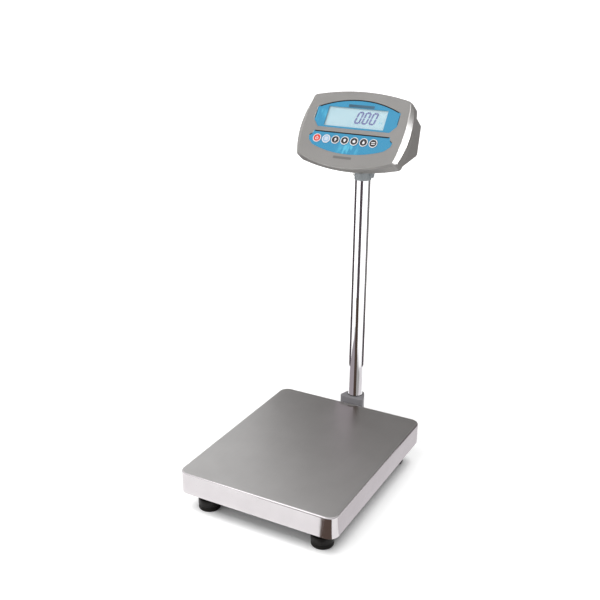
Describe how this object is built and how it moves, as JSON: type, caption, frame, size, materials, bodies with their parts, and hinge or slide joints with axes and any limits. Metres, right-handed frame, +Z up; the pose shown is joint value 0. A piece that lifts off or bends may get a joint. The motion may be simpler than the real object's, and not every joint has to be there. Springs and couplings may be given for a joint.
{
  "type": "bench scale",
  "caption": "Platform bench scale: a stainless pan platter on a load-cell base with levelling feet, and a chromed column that carries a tilting, swivelling display unit with round keys.",
  "frame": {"origin": "on the floor, under the middle of the whole object's outline", "axes": "+Z up, -Y towards the operator whom the indicator faces, +X to the operator's right"},
  "size_m": [0.4, 0.5816, 0.9151],
  "materials": {
    "stainless": "brushed top, polished skirt",
    "foot_rubber": "moulded black rubber",
    "pad_rubber": "black rubber",
    "frame_paint": "dark grey powder coat",
    "black_plastic": "moulded black plastic",
    "zinc": "zinc plated",
    "vial_metal": "turned aluminium with a clear green vial",
    "cell_alloy": "machined aluminium",
    "bracket_paint": "grey painted casting",
    "chrome": "bright chrome plate",
    "fitting_plastic": "grey-blue moulded nylon",
    "shell_plastic": "warm grey, fine moulded grain",
    "gasket_rubber": "black foam rubber",
    "overlay_film": "blue printed film",
    "clear_window": "clear acrylic",
    "lcd_glass": "pale backlit liquid-crystal glass",
    "light_guide": "white diffuser",
    "board_green": "green solder mask",
    "battery_case": "black battery case",
    "connector_metal": "nickel plated shell",
    "plate_print": "blank dark plate",
    "key_red": "red cap with a white ring",
    "key_blue": "pale blue cap with a white ring",
    "key_black": "black cap with a white ring"
  },
  "bodies": {
    "base": {"base_tube_left": "frame_paint", "base_tube_right": "frame_paint", "base_tube_front": "frame_paint", "base_tube_rear": "frame_paint", "base_center_channel": "frame_paint", "tube_end_caps": "black_plastic", "overload_stops": "zinc", "foot_lock_nuts": "zinc", "level_vial": "vial_metal", "load_cell": "cell_alloy", "load_cell_spacers": "zinc", "load_cell_bolts": "zinc", "upper_spine": "frame_paint", "upper_arm_front": "frame_paint", "upper_arm_rear": "frame_paint", "platter_pads": "pad_rubber", "column_bracket": "bracket_paint", "column_bracket_bolts": "zinc", "column_clamp_screws": "zinc", "column_collar": "black_plastic", "column_tube": "chrome", "swivel_screw": "zinc"},
    "platter": {"platter": "stainless"},
    "foot_front_left": {"foot_front_left": "foot_rubber"},
    "foot_front_right": {"foot_front_right": "foot_rubber"},
    "foot_rear_left": {"foot_rear_left": "foot_rubber"},
    "foot_rear_right": {"foot_rear_right": "foot_rubber"},
    "top_fitting": {"top_fitting": "fitting_plastic", "tilt_bolt": "zinc", "tilt_knob": "fitting_plastic", "tilt_washers": "black_plastic"},
    "indicator": {"tilt_bracket": "bracket_paint", "tilt_bracket_screws": "zinc", "front_shell": "shell_plastic", "rear_shell": "shell_plastic", "shell_gasket": "gasket_rubber", "shell_screws": "zinc", "display_overlay": "overlay_film", "keypad_overlay": "overlay_film", "lcd_window": "clear_window", "lcd_module": "lcd_glass", "lcd_backlight": "light_guide", "display_board": "board_green", "keypad_board": "board_green", "main_board": "board_green", "inner_screws": "zinc", "battery": "battery_case", "battery_strap": "zinc", "dc_inlet": "black_plastic", "serial_connector": "connector_metal", "cable_gland": "black_plastic", "name_plate": "plate_print"},
    "key_power": {"key_power": "key_red"},
    "key_mode": {"key_mode": "key_blue"},
    "key_up": {"key_up": "key_black"},
    "key_light": {"key_light": "key_black"},
    "key_zero": {"key_zero": "key_black"},
    "key_tare": {"key_tare": "key_black"},
    "key_enter": {"key_enter": "key_black"}
  },
  "joints": [
    {"name": "platter_lift", "type": "slide", "parent": "base", "child": "platter", "axis": [0, 0, 1], "range_m": [0, 0.12]},
    {"name": "foot_front_left_level", "type": "slide", "parent": "base", "child": "foot_front_left", "axis": [0, 0, -1], "range_m": [0, 0.01]},
    {"name": "foot_front_right_level", "type": "slide", "parent": "base", "child": "foot_front_right", "axis": [0, 0, -1], "range_m": [0, 0.01]},
    {"name": "foot_rear_left_level", "type": "slide", "parent": "base", "child": "foot_rear_left", "axis": [0, 0, -1], "range_m": [0, 0.01]},
    {"name": "foot_rear_right_level", "type": "slide", "parent": "base", "child": "foot_rear_right", "axis": [0, 0, -1], "range_m": [0, 0.01]},
    {"name": "indicator_swivel", "type": "hinge", "parent": "base", "child": "top_fitting", "pos_m": [0, 0.2412, 0.718], "axis": [0, 0, 1], "range_deg": [-90, 90]},
    {"name": "indicator_tilt", "type": "hinge", "parent": "top_fitting", "child": "indicator", "pos_m": [0, 0.2412, 0.718], "axis": [1, 0, 0], "range_deg": [-20, 30]},
    {"name": "key_power_press", "type": "slide", "parent": "indicator", "child": "key_power", "axis": [0, 0.809, -0.5878], "range_m": [0, 0.0008], "stiffness_N_per_m": 1500},
    {"name": "key_mode_press", "type": "slide", "parent": "indicator", "child": "key_mode", "axis": [0, 0.809, -0.5878], "range_m": [0, 0.0008], "stiffness_N_per_m": 1500},
    {"name": "key_up_press", "type": "slide", "parent": "indicator", "child": "key_up", "axis": [0, 0.809, -0.5878], "range_m": [0, 0.0008], "stiffness_N_per_m": 1500},
    {"name": "key_light_press", "type": "slide", "parent": "indicator", "child": "key_light", "axis": [0, 0.809, -0.5878], "range_m": [0, 0.0008], "stiffness_N_per_m": 1500},
    {"name": "key_zero_press", "type": "slide", "parent": "indicator", "child": "key_zero", "axis": [0, 0.809, -0.5878], "range_m": [0, 0.0008], "stiffness_N_per_m": 1500},
    {"name": "key_tare_press", "type": "slide", "parent": "indicator", "child": "key_tare", "axis": [0, 0.809, -0.5878], "range_m": [0, 0.0008], "stiffness_N_per_m": 1500},
    {"name": "key_enter_press", "type": "slide", "parent": "indicator", "child": "key_enter", "axis": [0, 0.809, -0.5878], "range_m": [0, 0.0008], "stiffness_N_per_m": 1500}
  ]
}
